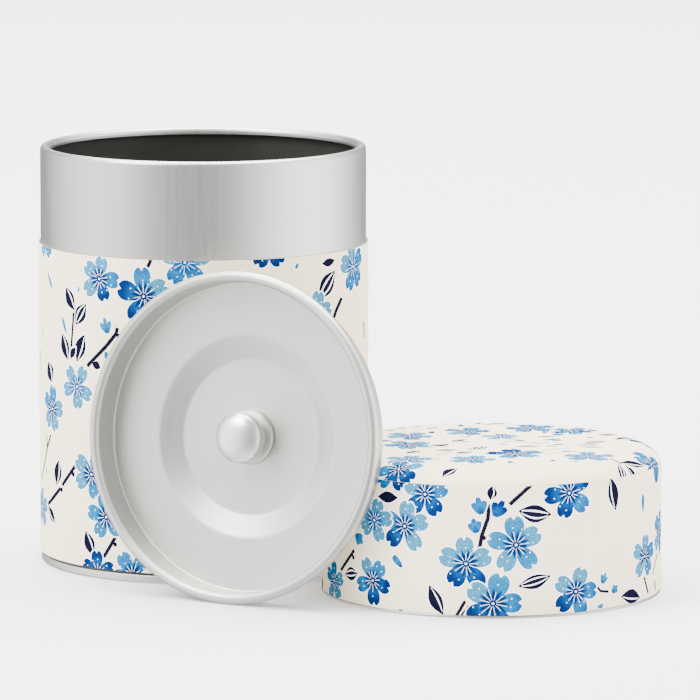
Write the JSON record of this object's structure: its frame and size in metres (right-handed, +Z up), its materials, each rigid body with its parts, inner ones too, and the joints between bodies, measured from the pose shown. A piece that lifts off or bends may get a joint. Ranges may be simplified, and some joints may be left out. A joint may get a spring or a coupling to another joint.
{
  "type": "spice tin",
  "caption": "Open double-lid caddy: paper-covered round tin with a bare metal neck, a dished inner lid with a knob, and a paper-covered slip-on outer lid.",
  "frame": {"origin": "middle of the footprint's bounding box, on the floor", "axes": "+Z up, +X along the longest side, from the canister towards the outer lid, and -Y towards the front, where the inner lid leans"},
  "size_m": [0.1514, 0.1248, 0.1026],
  "materials": {
    "satin_tin": "satin tinplate",
    "dark_tin": "dull tinplate",
    "pale_tin": "satin tinplate",
    "bright_metal": "smooth, nearly polished",
    "washi": "matt printed paper"
  },
  "bodies": {
    "canister": {"inner_barrel": "satin_tin", "outer_barrel": "dark_tin", "body_paper": "washi", "bottom_end": "pale_tin"},
    "inner_lid": {"inner_lid_dish": "pale_tin", "knob_flange": "pale_tin", "knob_stem": "pale_tin", "knob_cap": "bright_metal"},
    "outer_lid": {"lid_shell": "satin_tin", "lid_side_paper": "washi", "lid_top_paper": "washi"}
  },
  "joints": [
    {"name": "outer_lid_lift", "type": "slide", "parent": "canister", "child": "outer_lid", "axis": [0.342, 0, 0.9397], "range_m": [0, 0.12]},
    {"name": "inner_lid_pull", "type": "slide", "parent": "canister", "child": "inner_lid", "axis": [-0.491, -0.8642, 0.1097], "range_m": [0, 0.08]}
  ]
}
